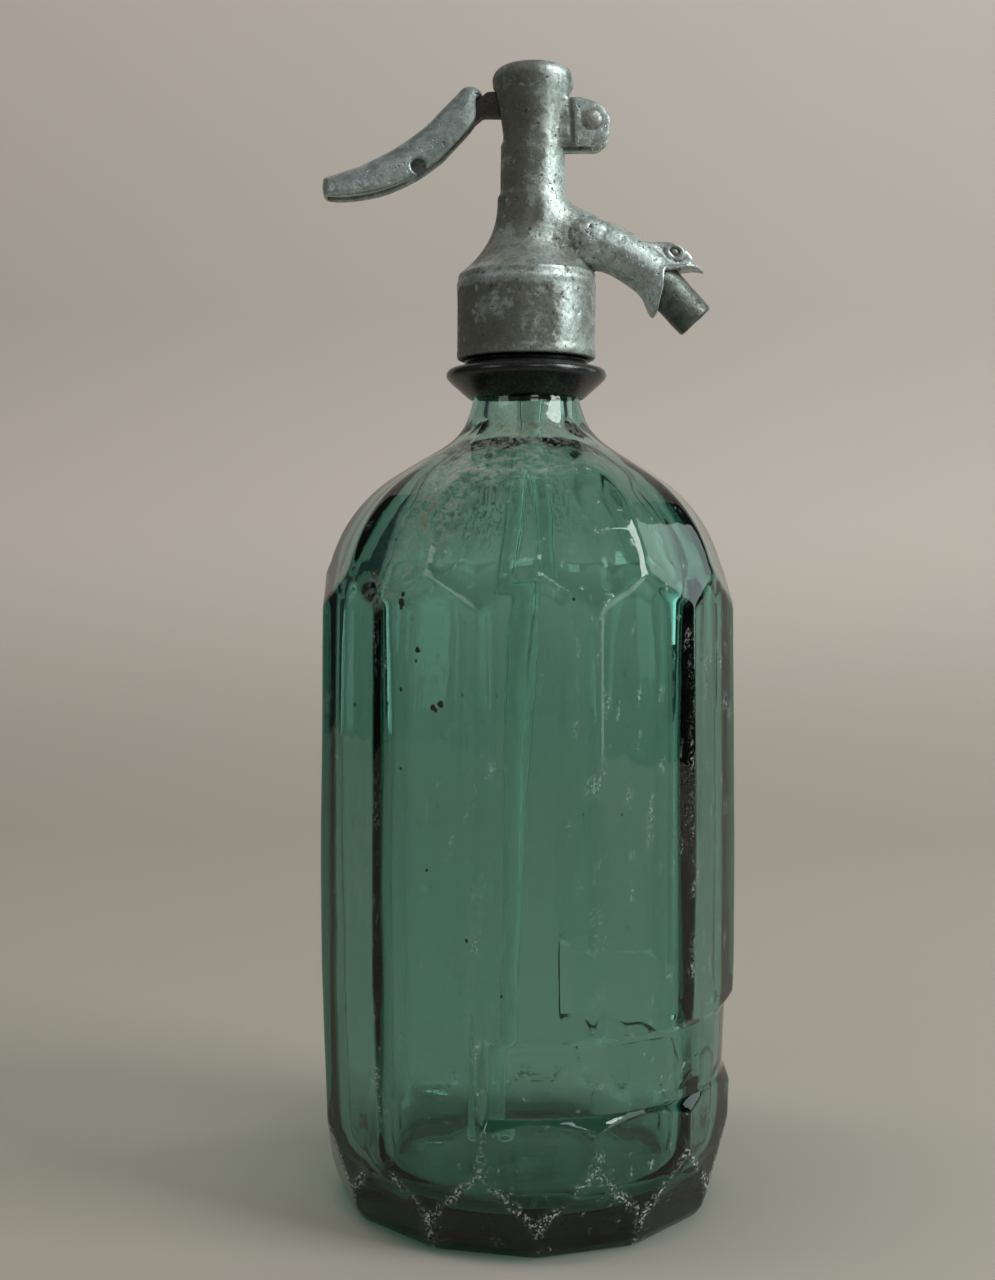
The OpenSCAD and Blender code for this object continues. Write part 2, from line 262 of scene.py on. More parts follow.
class Nodes:
    def __init__(self, name):
        self.material = bpy.data.materials.new(name)
        self.material.use_nodes = True
        self.tree = self.material.node_tree
        self.tree.nodes.clear()
        self.out = self.add("ShaderNodeOutputMaterial")
        self.bsdf = self.add("ShaderNodeBsdfPrincipled")
        self.link(self.bsdf.outputs[0], self.out.inputs["Surface"])
        self.coords = self.add("ShaderNodeTexCoord").outputs["Object"]

    def add(self, kind):
        return self.tree.nodes.new(kind)

    def link(self, a, b):
        self.tree.links.new(a, b)

    def put(self, socket, value):
        if isinstance(value, bpy.types.NodeSocket):
            self.link(value, socket)
        else:
            socket.default_value = value

    def set(self, **values):
        for name, value in values.items():
            self.put(self.bsdf.inputs[name.replace("_", " ")], value)

    def stretched(self, scale):
        node = self.add("ShaderNodeMapping")
        node.inputs["Scale"].default_value = scale
        self.link(self.coords, node.inputs["Vector"])
        return node.outputs[0]

    def noise(self, size_mm, detail=4, rough=0.55, distortion=0.0, vector=None):
        node = self.add("ShaderNodeTexNoise")
        self.link(vector or self.coords, node.inputs["Vector"])
        node.inputs["Scale"].default_value = 1 / (size_mm * MM)
        node.inputs["Detail"].default_value = detail
        node.inputs["Roughness"].default_value = rough
        node.inputs["Distortion"].default_value = distortion
        return node.outputs["Fac"]

    def range(self, value, a, b, to_a=0.0, to_b=1.0):
        node = self.add("ShaderNodeMapRange")
        node.interpolation_type = "SMOOTHSTEP"
        self.link(value, node.inputs["Value"])
        for name, x in zip(("From Min", "From Max", "To Min", "To Max"), (a, b, to_a, to_b)):
            node.inputs[name].default_value = x
        return node.outputs[0]

    def math(self, operation, a, b, clamp=False):
        node = self.add("ShaderNodeMath")
        node.operation, node.use_clamp = operation, clamp
        self.put(node.inputs[0], a)
        self.put(node.inputs[1], b)
        return node.outputs[0]

    def times(self, a, b):
        return self.math("MULTIPLY", a, b)

    def plus(self, a, b, clamp=False):
        return self.math("ADD", a, b, clamp)

    def minus(self, a, b, clamp=False):
        return self.math("SUBTRACT", a, b, clamp)

    def mix(self, factor, a, b):
        node = self.add("ShaderNodeMix")
        node.data_type = "RGBA"
        self.put(node.inputs[0], factor)
        self.put(node.inputs[6], a if isinstance(a, bpy.types.NodeSocket) else (*a, 1))
        self.put(node.inputs[7], b if isinstance(b, bpy.types.NodeSocket) else (*b, 1))
        return node.outputs[2]

    def attribute(self, name):
        node = self.add("ShaderNodeAttribute")
        node.attribute_name = name
        return node.outputs["Fac"]

    def pointiness(self):
        return self.add("ShaderNodeNewGeometry").outputs["Pointiness"]

    def bump(self, height, distance_mm, strength=1.0, normal=None):
        node = self.add("ShaderNodeBump")
        self.link(height, node.inputs["Height"])
        node.inputs["Distance"].default_value = distance_mm * MM
        node.inputs["Strength"].default_value = strength
        if normal is not None:
            self.link(normal, node.inputs["Normal"])
        return node.outputs[0]


def paint(obj, material):
    obj.data.materials.clear()
    obj.data.materials.append(material)


# ---------------- materials


def cast_metal(name, clean, bright, grime, grime_from, grime_to, rough=0.42, zone=False):
    """Old pewter-like casting: grey metal, polished edges, olive-brown grime in the hollows, fine pits.
    With zone, the piece's own grime attribute says where more or less of the grime sits, and where painted
    highlight and painted shade lie."""
    n = Nodes(name)
    broad = n.noise(13, 4, 0.6, 0.4)
    fine = n.noise(2.4, 7, 0.7, 0.4)
    grain = n.noise(0.5, 4, 0.75)
    spots = n.noise(1.1, 4, 0.6, 0.6)
    blotch = n.plus(n.times(broad, 0.45), n.times(fine, 0.55))
    if zone:
        # The zone attribute brings in painted highlight (less grime) and painted shade (more grime) along
        # with real grime
        blotch = n.plus(blotch, n.times(n.attribute("grime"), 0.15))
    edge = n.range(n.pointiness(), 0.5, 0.56)
    hollow = n.range(n.pointiness(), 0.497, 0.45)
    blotch = n.plus(blotch, n.times(hollow, 0.3))
    mask = n.range(blotch, grime_from, grime_to)
    mask = n.minus(mask, n.times(edge, 0.6), clamp=True)
    pores = n.range(grain, 0.5, 0.64)
    tone = n.mix(n.range(fine, 0.4, 0.6), clean, bright)
    specks = n.range(spots, 0.62, 0.69)
    colour = n.mix(n.times(mask, 0.85), tone, grime)
    colour = n.mix(n.times(pores, 0.35), colour, [c * 0.9 for c in grime])
    colour = n.mix(n.times(specks, 0.75), colour, [c * 0.35 for c in grime])
    grain_rough = n.range(grain, 0.3, 0.7, rough - 0.08, rough + 0.1)
    roughness = n.plus(n.times(mask, 0.22), grain_rough)
    metallic = n.minus(0.8, n.times(mask, 0.4))
    normal = n.bump(n.range(spots, 0.58, 0.72, 1.0, 0.0), 0.16, 0.8)
    normal = n.bump(fine, 0.2, 0.6, normal)
    normal = n.bump(grain, 0.07, 0.7, normal)
    n.set(Base_Color=colour, Roughness=roughness, Metallic=metallic, Normal=normal)
    return n.material


def fill_glass(n, colour, density):
    """Tints the inside of the glass, and lets lamps shine through it on to what stands inside and behind."""
    volume = n.add("ShaderNodeVolumeAbsorption")
    volume.inputs["Color"].default_value = (*colour, 1)
    volume.inputs["Density"].default_value = density
    n.link(volume.outputs[0], n.out.inputs["Volume"])
    path = n.add("ShaderNodeLightPath")
    clear = n.add("ShaderNodeBsdfTransparent")
    clear.inputs["Color"].default_value = (0.93, 0.95, 0.94, 1)
    mix = n.add("ShaderNodeMixShader")
    n.link(path.outputs["Is Shadow Ray"], mix.inputs[0])
    n.link(n.bsdf.outputs[0], mix.inputs[1])
    n.link(clear.outputs[0], mix.inputs[2])
    n.link(mix.outputs[0], n.out.inputs["Surface"])


def green_glass():
    n = Nodes("green_glass")
    wear_and_highlight = n.attribute("wear_and_highlight")
    dust = n.noise(6, 5, 0.6, 0.3)
    scuff = n.noise(0.7, 3, 0.7)
    smear = n.noise(2.2, 5, 0.7, 0.8)
    waves = n.noise(14, 2, 0.5, 0.0, n.stretched((1, 1, 0.35)))
    ripples = n.noise(4.5, 2, 0.5, 0.0, n.stretched((1, 1, 0.3)))
    # Whiter, cloudier, rougher glass along the edges: partly real scuffing, partly painted highlight along
    # the corners and the panel's edges
    scuffs_and_highlights = n.times(wear_and_highlight, n.range(scuff, 0.5, 0.62))
    film = n.times(n.attribute("film"), n.range(smear, 0.46, 0.6))
    haze = n.range(dust, 0.55, 0.8, 0.0, 0.03)
    roughness = n.plus(n.times(scuffs_and_highlights, 0.4), n.plus(haze, 0.006))
    roughness = n.plus(roughness, n.times(film, 0.15))
    cloudy = n.plus(n.times(scuffs_and_highlights, 0.7), n.times(film, 0.35), clamp=True)
    normal = n.bump(waves, 0.35, 0.35)
    normal = n.bump(ripples, 0.08, 0.4, normal)
    normal = n.bump(scuffs_and_highlights, 0.08, 0.5, normal)
    n.set(
        Base_Color=n.mix(film, n.mix(scuffs_and_highlights, (0.93, 1.0, 0.97), (0.75, 0.83, 0.8)), (0.30, 0.27, 0.17)),
        Roughness=roughness, Transmission_Weight=n.minus(1.0, cloudy), IOR=1.5, Normal=normal,
    )
    fill_glass(n, (0.518, 0.75, 0.71), 200)
    return n.material


def clear_glass():
    n = Nodes("clear_glass")
    film = n.noise(3, 4, 0.6, 0.4, n.stretched((1, 1, 0.2)))
    n.set(
        Base_Color=(0.96, 1.0, 0.95, 1), Roughness=n.range(film, 0.4, 0.75, 0.01, 0.12),
        Transmission_Weight=n.range(film, 0.35, 0.7, 0.96, 0.82), IOR=1.48, Normal=n.bump(film, 0.05, 0.3),
    )
    fill_glass(n, (0.78, 0.92, 0.78), 30)
    return n.material


def moulded_black():
    n = Nodes("black_collar")
    dust = n.noise(3.5, 6, 0.65, 0.4)
    fine = n.noise(0.6, 4, 0.7)
    hollow = n.range(n.pointiness(), 0.5, 0.44)
    settled = n.plus(n.times(hollow, 0.5), n.range(dust, 0.52, 0.75, 0.0, 0.35), clamp=True)
    colour = n.mix(settled, (0.012, 0.013, 0.014), (0.075, 0.068, 0.05))
    roughness = n.plus(n.range(fine, 0.35, 0.65, 0.2, 0.3), n.times(settled, 0.35))
    normal = n.bump(dust, 0.12, 0.35)
    normal = n.bump(fine, 0.02, 0.5, normal)
    n.set(Base_Color=colour, Roughness=roughness, IOR=1.52, Normal=normal)
    return n.material


def plain_metal(name, colour, dark, rough, grime=0.5):
    n = Nodes(name)
    fine = n.noise(1.6, 5, 0.65, 0.3)
    rings = n.noise(0.35, 2, 0.6, 0.0, n.stretched((0.3, 0.3, 3.0)))
    mask = n.range(fine, 0.48, 0.68, 0.0, grime)
    n.set(
        Base_Color=n.mix(mask, colour, dark),
        Metallic=n.minus(1.0, n.times(mask, 0.4)),
        Roughness=n.plus(n.times(mask, 0.25), n.range(rings, 0.3, 0.7, rough, rough + 0.1)),
        Normal=n.bump(rings, 0.02, 0.5, n.bump(fine, 0.05, 0.4)),
    )
    return n.material


def rubber(name, colour, worn):
    n = Nodes(name)
    fine = n.noise(1.2, 5, 0.65, 0.3)
    bloom = n.noise(5, 4, 0.6)
    n.set(
        Base_Color=n.mix(n.range(bloom, 0.4, 0.7), colour, worn),
        Roughness=n.range(fine, 0.3, 0.7, 0.55, 0.8), Normal=n.bump(fine, 0.08, 0.5),
    )
    return n.material


def dirt():
    n = Nodes("speck_dirt")
    fine = n.noise(0.4, 4, 0.7)
    n.set(
        Base_Color=n.mix(fine, (0.012, 0.01, 0.006), (0.05, 0.035, 0.018)),
        Roughness=0.8, Normal=n.bump(fine, 0.05),
    )
    return n.material


HEAD_METAL = cast_metal(
    "head_metal", (0.39, 0.43, 0.41), (0.65, 0.72, 0.70), (0.075, 0.067, 0.042), 0.5, 0.64, zone=True)
HANDLE_METAL = cast_metal(
    "handle_metal", (0.35, 0.40, 0.39), (0.55, 0.62, 0.60), (0.16, 0.165, 0.145), 0.5, 0.72, 0.38)
NOZZLE_METAL = cast_metal(
    "nozzle_metal", (0.12, 0.13, 0.115), (0.23, 0.25, 0.225), (0.05, 0.045, 0.03), 0.46, 0.7, 0.45)
PIN_METAL = cast_metal(
    "pin_steel", (0.32, 0.32, 0.28), (0.46, 0.46, 0.42), (0.07, 0.06, 0.04), 0.46, 0.66, 0.48)
STEEL = cast_metal(
    "dark_steel", (0.085, 0.08, 0.07), (0.13, 0.125, 0.11), (0.025, 0.02, 0.014), 0.42, 0.62, 0.5)
SPRING_WIRE = plain_metal("spring_steel", (0.45, 0.45, 0.44), (0.16, 0.12, 0.08), 0.28)
BRASS = plain_metal("valve_brass", (0.52, 0.38, 0.17), (0.16, 0.11, 0.05), 0.3)
CAGE = plain_metal("cage_metal", (0.42, 0.42, 0.39), (0.14, 0.13, 0.1), 0.35)
GLASS = green_glass()
TUBE_GLASS = clear_glass()
BLACK = moulded_black()
GASKET = rubber("gasket_rubber", (0.14, 0.075, 0.04), (0.2, 0.13, 0.08))
SEAL = rubber("seal_rubber", (0.03, 0.027, 0.024), (0.07, 0.062, 0.052))
SLEEVE = rubber("sleeve_rubber", (0.16, 0.075, 0.04), (0.24, 0.16, 0.09))

for node_name, material in {
    "mouth_gasket": GASKET, "head_gasket": GASKET, "valve_washer": SEAL, "stem_packing": SEAL,
    "tube_sleeve": SLEEVE, "plunger_cap": BRASS, "valve_stem": BRASS, "gland_nut": BRASS,
    "valve_seat": BRASS, "washer_cup": BRASS, "stem_nut": BRASS, "spring_washer": SPRING_WIRE,
    "valve_cage": CAGE,
}.items():
    paint(frame["nodes"][node_name], material)

# ---------------- the glass bottle

FLAT = math.cos(math.radians(15))
COLUMNS = 432
BODY_FLAT_AT, DOME_FLAT_AT = 3, 18     # direction of the middle of a flat, degrees from the front
SHOULDER_C, SHOULDER_R = (13.3, 147.95), 36.8
NECK_C, NECK_ARC_R = (31.8, 201.65), 18.77
SIDE_R, SIDE_TOP_R = 57.4, 53.7
SIDE_BEND_Z, SIDE_TOP_Z = 135, 146.8
SHOULDER_Z0, SHOULDER_Z1 = 158, 180.6      # the shoulder follows its arc between these heights
NECK_Z0, NECK_Z1 = 184.4, 198              # and the neck its own between these
PANEL_Z0, PANEL_Z1 = 33.2, 50              # the blank panel low on the glass
PANEL_DEPTH, PANEL_SOFT = 0.35, 0.15
NECK_R = 13.0
BORE_R = 9.0
FLOOR_Z = 9.5
FOOT_HOLLOW = 1.6                          # how deep the base is hollowed
INSIDE_R = 42.6
theta = BODY_FLAT_AT + np.arange(COLUMNS) * 360 / COLUMNS


def shoulder_r(z):
    return SHOULDER_C[0] + math.sqrt(SHOULDER_R**2 - (z - SHOULDER_C[1]) ** 2)


def neck_r(z):
    return NECK_C[0] - math.sqrt(NECK_ARC_R**2 - (z - NECK_C[1]) ** 2)


def outline_r(z):
    """Corner radius of the base, shoulder and neck shape at height z."""
    if z < 90:
        return np.interp(z, [0, 0.8, 2.8, 5.4, 8.7, 21, 40], [44.6, 46.2, 47.6, 48.5, 49.4, 52.9, SIDE_R])
    if z < SIDE_TOP_Z:
        bend = np.clip((z - SIDE_BEND_Z) / (SIDE_TOP_Z - SIDE_BEND_Z), 0, 1)
        return SIDE_R - (SIDE_R - SIDE_TOP_R) * bend
    if z < SHOULDER_Z0:
        rise = shoulder_r(SHOULDER_Z0) - SIDE_TOP_R
        return SIDE_TOP_R + rise * (z - SIDE_TOP_Z) / (SHOULDER_Z0 - SIDE_TOP_Z)
    if z < SHOULDER_Z1:
        return shoulder_r(z)
    if z < NECK_Z0:
        low, high = shoulder_r(SHOULDER_Z1), neck_r(NECK_Z0)
        return low + (high - low) * (z - SHOULDER_Z1) / (NECK_Z0 - SHOULDER_Z1)
    return neck_r(min(z, NECK_Z1))


TABLE_Z = np.arange(0, 200.01, 0.25)
table_r = np.array([outline_r(z) for z in TABLE_Z])
soft_r = table_r.copy()
for _ in range(60):
    soft_r[1:-1] = 0.25 * soft_r[:-2] + 0.5 * soft_r[1:-1] + 0.25 * soft_r[2:]
OUTLINE = table_r + (soft_r - table_r) * smoothstep(165, 172, TABLE_Z) * smoothstep(196, 191, TABLE_Z)


def twelve(flat_r, first, k):
    """Radius in every direction of a twelve-sided section with corners rounded by k."""
    d = np.radians((theta - first + 15) % 30 - 15)
    return smin(flat_r / np.cos(d), flat_r / np.cos(math.radians(30) - np.abs(d)), k)


from_front = (theta + 100) % 360 - 100
in_panel = smoothstep(-11.5, -10.7, from_front) * smoothstep(168.6, 167.8, from_front)


def near(value, width):
    """1 where value is 0, falling to nothing over about twice the width."""
    return np.exp(-((value / width) ** 2))


def outer_ring(z):
    """Radius of the outside at height z in every direction, and 1 along its edges, 0 elsewhere."""
    corner = np.interp(z, [0, 25, 60, 85, 147], [51.0, 51.2, 52.35, 52.35, 51.6])
    body = twelve(corner * FLAT, BODY_FLAT_AT, 0.4)
    r = float(np.interp(z, TABLE_Z, OUTLINE))
    softness = 0.8 + 5 * smoothstep(178, 192, z)
    dome = twelve(r * FLAT, DOME_FLAT_AT, softness)
    round_r = np.full(COLUMNS, r * (1 + FLAT) / 2)
    dome = dome + (round_r - dome) * smoothstep(185, 196, z)
    ring = smin(body, dome, 0.6)
    edge = near(body - dome, 0.35)
    edge = np.maximum(edge, (body < dome) * near((theta - DOME_FLAT_AT + 15) % 30 - 15, 1.3))
    edge = np.maximum(edge, (dome < body) * near((theta - BODY_FLAT_AT + 15) % 30 - 15, 1.3) * (z < 12))
    panel_r = corner * FLAT - PANEL_DEPTH + 0.75 * max(0.0, z - PANEL_Z1, PANEL_Z0 - z)
    if panel_r < 55:
        panel = np.full(COLUMNS, panel_r)
        panel_edge = near(panel - ring, PANEL_SOFT) * in_panel
        edge = np.maximum(edge * np.clip(1 + (panel - ring) * in_panel, 0, 1), panel_edge)
        ring = ring + (smin(ring, panel, PANEL_SOFT) - ring) * in_panel
    return ring, edge


def rings_of_glass():
    """Rings of (x, y, z) from the middle of the base, up the outside, over the mouth and down the inside."""
    a = np.radians(theta)
    sin_a, cos_a = np.sin(a), np.cos(a)
    rings, kinds, edges = [], [], []

    def ring(r, z, kind, edge=0.0):
        r = np.broadcast_to(r, (COLUMNS,))
        rings.append(np.stack([r * sin_a, -r * cos_a, np.broadcast_to(z, (COLUMNS,))], axis=1))
        kinds.append(kind)
        edges.append(np.broadcast_to(edge, (COLUMNS,)))

    foot = outer_ring(0.0)[0]
    for t in (0.03, 0.15, 0.3, 0.45, 0.6, 0.72, 0.8, 0.86, 0.9, 0.93, 0.955, 0.975):
        ring(foot * t, FOOT_HOLLOW * (1 - smoothstep(0.55, 0.93, t)), "base")
    heights = np.concatenate([
        [0.0, 0.15, 0.4, 0.8], np.arange(1.4, 27, 0.75), np.arange(27.2, 57, 0.62), np.arange(57.5, 144, 3.2),
        np.arange(144.6, 160.5, 0.62), np.arange(161, 197.8, 0.95),
    ])
    for z in heights:
        r, edge = outer_ring(z)
        ring(r, z, "side", edge)
    for r, z in [(13.35, 198.1), (NECK_R, 199), (NECK_R, 206), (NECK_R, 212.6), (NECK_R + 0.3, 213.6),
                 (14.2, 213.7), (14.6, 214.4), (14.6, 218), (14.4, 219.2), (13.6, 219.85), (12.8, MOUTH_Z)]:
        ring(r, z, "lip")
    for r, z in [(10.2, MOUTH_Z), (9.4, 219.7), (BORE_R, 219), (BORE_R, 212), (BORE_R, 206), (BORE_R, 202.5)]:
        ring(r, z, "lip")
    inside = arc((27.4, 200), 18.37, 180, 218, 14)
    inside += [(17.1, 184.9), (20.4, 181.8), (23.7, 178.6), (27, 175.4)]
    inside += arc((INSIDE_R - 35.2, 145.5), 35.2, 49, 4, 28)
    inside += [(INSIDE_R, z) for z in (142, 134, 124, 112, 98, 84, 72, 60, 50, 40, 31, 24)]
    inside += arc((INSIDE_R - 11.4, FLOOR_Z + 10.4), 11.4, 0, -90, 14)
    floor_rise = [(28, -0.9), (25, -0.7), (20, -0.2), (14, 0.4), (8, 0.8), (2.5, 1)]
    inside += [(r, FLOOR_Z + rise) for r, rise in floor_rise]
    inside = np.array(inside)
    for _ in range(6):
        inside[1:-1] = 0.25 * inside[:-2] + 0.5 * inside[1:-1] + 0.25 * inside[2:]
    for r, z in inside:
        follow = 0.45 * smoothstep(8, 25, z) * smoothstep(165, 140, z)
        ring(r + follow * np.cos(np.radians(12 * (theta - DOME_FLAT_AT))), z, "inside")
    return rings, kinds, edges


def make_bottle():
    rings, kinds, edges = rings_of_glass()
    points = np.concatenate(rings)
    count = len(rings)
    index = np.arange(count * COLUMNS).reshape(count, COLUMNS)
    faces = []
    nxt = np.roll(index, -1, axis=1)
    for i in range(count - 1):
        faces.append(np.stack([index[i], nxt[i], nxt[i + 1], index[i + 1]], axis=1))
    faces = np.concatenate(faces).tolist()
    bottom, floor = len(points), len(points) + 1
    points = np.concatenate([points, [[0, 0, FOOT_HOLLOW], [0, 0, FLOOR_Z + 1]]])
    for j in range(COLUMNS):
        faces.append([bottom, nxt[0][j], index[0][j]])
        faces.append([floor, index[-1][j], nxt[-1][j]])
    # Hand-made unevenness: slow waves outside, longer upright streaks inside
    kind = np.repeat(np.array(kinds), COLUMNS)
    flat_p = points[:-2]
    radial = flat_p[:, :2] / np.maximum(np.hypot(flat_p[:, 0], flat_p[:, 1]), 1)[:, None]
    z = flat_p[:, 2]
    body = smoothstep(3, 25, z) * smoothstep(200, 185, z)
    outer_wave = 0.07 * fractal(flat_p, (16, 16, 30), 3, 2) - 0.05
    inner_wave = 0.32 * fractal(flat_p, (13, 13, 60), 7, 2) + 0.25 * noise3(flat_p, (22, 22, 24), 11)
    inner_wave = inner_wave + 0.035 * noise3(flat_p, (3.2, 3.2, 70), 13)
    wave = np.where(kind == "side", outer_wave, np.where(kind == "inside", inner_wave, 0)) * body
    points[:-2, :2] += radial * wave[:, None]
    bottle = to_object("bottle_glass", points, faces, "bottle", ["glass_bottle"], GLASS)
    # Wear and painted highlight follow the edges that stand proud, and wear speckles the rest
    edge = np.concatenate(edges)
    patch = smoothstep(0.0, 0.6, noise3(flat_p, (3, 3, 5), 21) + 0.45 * smoothstep(30, 15, z))
    stray = smoothstep(0.55, 0.9, noise3(flat_p, (1.6, 1.6, 1.6), 5)) * (kind == "side") * 0.5
    low = smoothstep(30, 12, z) * (kind == "side")
    # The base's edges get more, real wear with painted highlight; the panel's edges about z 42 get more
    # painted highlight
    strength = 0.35 + 0.65 * low + 0.45 * near(z - 42, 14)
    rubbed_and_highlight = edge * patch * strength * smoothstep(200, 160, z) + 0.4 * low * patch * edge
    wear_and_highlight = np.clip(rubbed_and_highlight + stray, 0, 1)
    set_attribute(bottle, "wear_and_highlight", np.concatenate([wear_and_highlight, [0, 0]]))
    # Old grime about the neck and the left of the shoulder
    azimuth = np.tile(theta, count)
    spots = [(-12, 184, 22, 7), (-32, 168, 9, 12), (-40, 152, 5, 4), (10, 190, 40, 3), (205, 178, 40, 9)]
    film = sum(
        near((azimuth - a + 180) % 360 - 180, wide) * near(z - height, tall)
        for a, height, wide, tall in spots
    )
    set_attribute(bottle, "film", np.concatenate([np.clip(film * (kind == "side"), 0, 1), [0, 0]]))


make_bottle()


def make_specks():
    """Dark specks of dirt stuck to the glass, as (direction in degrees, height, size)."""
    spots = [
        (-33.7, 148.9, 0.75), (-33.3, 150.6, 0.5), (-33.9, 147.6, 0.4), (-29, 138.3, 0.65),
        (-29.4, 135.8, 0.3), (-24.4, 125.6, 0.62), (-23.6, 125.0, 0.4), (-22.2, 126.3, 0.66),
        (-33.9, 129.3, 0.4), (-33.9, 111.4, 0.34), (12, 149.8, 0.35), (-14.6, 74.2, 0.36),
        (-26, 89, 0.3), (-52, 124.8, 0.45), (-6, 62, 0.3), (-41, 163, 0.35),
        (64, 150, 0.4), (110, 132, 0.5), (146, 88, 0.45), (196, 120, 0.5),
        (232, 140, 0.4), (250, 70, 0.45),
    ]
    bm = bmesh.new()
    for i, (direction, z, size) in enumerate(spots):
        j = int(np.argmin(np.abs((theta - direction + 180) % 360 - 180)))
        r = outer_ring(z)[0][j] - 0.02
        a = math.radians(direction)
        out = Vector((math.sin(a), -math.cos(a), 0))
        made = bmesh.ops.create_icosphere(bm, subdivisions=3, radius=1)["verts"]
        co = np.array([v.co for v in made])
        lumps = 1 + 0.35 * noise3(co * 1.0 + i * 7.3, 0.8, 40 + i)
        for v, k in zip(made, lumps):
            v.co = v.co * float(k)
            v.co.z *= 1.15
            v.co = v.co - out * (v.co.dot(out) * 0.75)
            v.co = (v.co * size + out * r + Vector((0, 0, z))) * MM
    mesh = bpy.data.meshes.new("glass_specks")
    for face in bm.faces:
        face.smooth = True
    bm.to_mesh(mesh)
    bm.free()
    specks = in_scene("glass_specks", mesh)
    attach(specks, "bottle")
    paint(specks, dirt())


make_specks()

# ---------------- turned pieces


def turned_piece(
    name, profile, body, replaced, material,
    place=None, start=0.0, end=360.0, steps=144, wobble=None, sharp=38,
):
    """A solid turned from a closed (radius, z) outline, whole or from start to end degrees with flat ends."""
    whole = end - start >= 360
    angles = np.radians(np.linspace(start, end, steps + 1)[: steps if whole else steps + 1])
    profile = np.asarray(profile, float)
    m, k = len(angles), len(profile)
    points = np.empty((m, k, 3))
    points[:, :, 0] = profile[:, 0] * np.cos(angles)[:, None]
    points[:, :, 1] = profile[:, 0] * np.sin(angles)[:, None]
    points[:, :, 2] = profile[:, 1]
    points = points.reshape(-1, 3)
    if wobble is not None:
        points = wobble(points)
    index = np.arange(m * k).reshape(m, k)
    faces = []
    for i in range(m if whole else m - 1):
        a, b = index[i], index[(i + 1) % m]
        for j in range(k):
            faces.append([a[j], a[(j + 1) % k], b[(j + 1) % k], b[j]])
    if not whole:
        faces.append(index[0].tolist())
        faces.append(index[-1][::-1].tolist())
    if place is not None:
        points = place(points)
    return to_object(name, points, faces, body, replaced, material, sharp)


def collar_profile():
    """Outline of the collar, from the lower inner edge outwards and up, with thread ridges."""
    r = COLLAR_R
    p = [(13.15, 199.5), (13.5, 198.75), (14.2, COLLAR_Z0), (14.6, 198.45), (r - 1.0, 202.2)]
    p += arc((r - 1.6, 203.85), 1.6, -42, 100, 14)
    p += [(16.2, 205.65), (15.0, 205.8)]
    for z in np.arange(207.2, COLLAR_TOP - 1, 2.4):
        p += [(14.65, z - 0.8), (15.2, z - 0.35), (15.34, z), (15.2, z + 0.35), (14.65, z + 0.8)]
    p += [(14.6, COLLAR_TOP - 0.4), (14.2, COLLAR_TOP), (13.5, COLLAR_TOP), (13.15, COLLAR_TOP - 0.4)]
    return p


def nicked(points):
    dents = np.clip(noise3(points, 2.2, 61) - 0.55, 0, 1) * 0.5 + 0.05 * noise3(points, 6, 62)
    rim = smoothstep(17, 19, np.hypot(points[:, 0], points[:, 1]))
    points[:, 2] -= dents * rim * 0.5
    points[:, :2] *= (1 - dents * rim * 0.016)[:, None]
    return points


COLLAR_GAP = math.degrees(0.15 / 16)     # 0.15 mm at a radius of 16
for half, start in (("front", 180), ("rear", 0)):
    turned_piece(
        "neck_collar_" + half, collar_profile(), "bottle", ["collar_half_" + half], BLACK,
        start=start + COLLAR_GAP, end=start + 180 - COLLAR_GAP, steps=110, wobble=nicked,
    )

# The nozzle's axis comes from the record's mount
outlet = next(m for m in frame["record"]["mounts"] if m["name"] == "nozzle_outlet")
nozzle_mid = np.array(outlet["pos_m"]) / MM
nozzle_dir = np.array(outlet["axis"]) / np.linalg.norm(outlet["axis"])
if nozzle_dir[2] > 0:
    nozzle_dir = -nozzle_dir
NOZZLE_R = 4.97
NOZZLE_HALF = 6.9


def on_nozzle(points):
    side = np.array([0.0, 1.0, 0.0])
    up = np.cross(nozzle_dir, side)
    return nozzle_mid + points[:, :1] * up + points[:, 1:2] * side + points[:, 2:] * nozzle_dir


def dented(points):
    r = np.hypot(points[:, 0], points[:, 1])
    outer = smoothstep(4, 4.8, r) * smoothstep(-2, 0, points[:, 2])
    change = 0.10 * noise3(points, 3.2, 71) + 0.05 * noise3(points, 1.2, 72) - 0.08
    end = smoothstep(5.4, NOZZLE_HALF, points[:, 2])
    points[:, :2] *= (1 + outer * change / 5)[:, None]
    points[:, 2] += end * 0.25 * noise3(points, 3.0, 73) - end * 0.12
    return points


bore = 3.4
nozzle_profile = [(bore, -NOZZLE_HALF), (NOZZLE_R, -NOZZLE_HALF)]
nozzle_profile += [(NOZZLE_R, z) for z in np.arange(-6, 6, 0.6)]
nozzle_profile += [(NOZZLE_R, 6.2), (NOZZLE_R - 0.12, 6.6), (NOZZLE_R - 0.4, NOZZLE_HALF)]
nozzle_profile += [(bore + 0.5, NOZZLE_HALF), (bore + 0.12, 6.7), (bore, 6.3)]
nozzle_profile += [(bore, z) for z in np.arange(5, -6.5, -1.2)]
turned_piece("nozzle_outlet_tube", nozzle_profile, "bottle", ["nozzle_tube"], NOZZLE_METAL,
             place=on_nozzle, wobble=dented, steps=96, sharp=50)

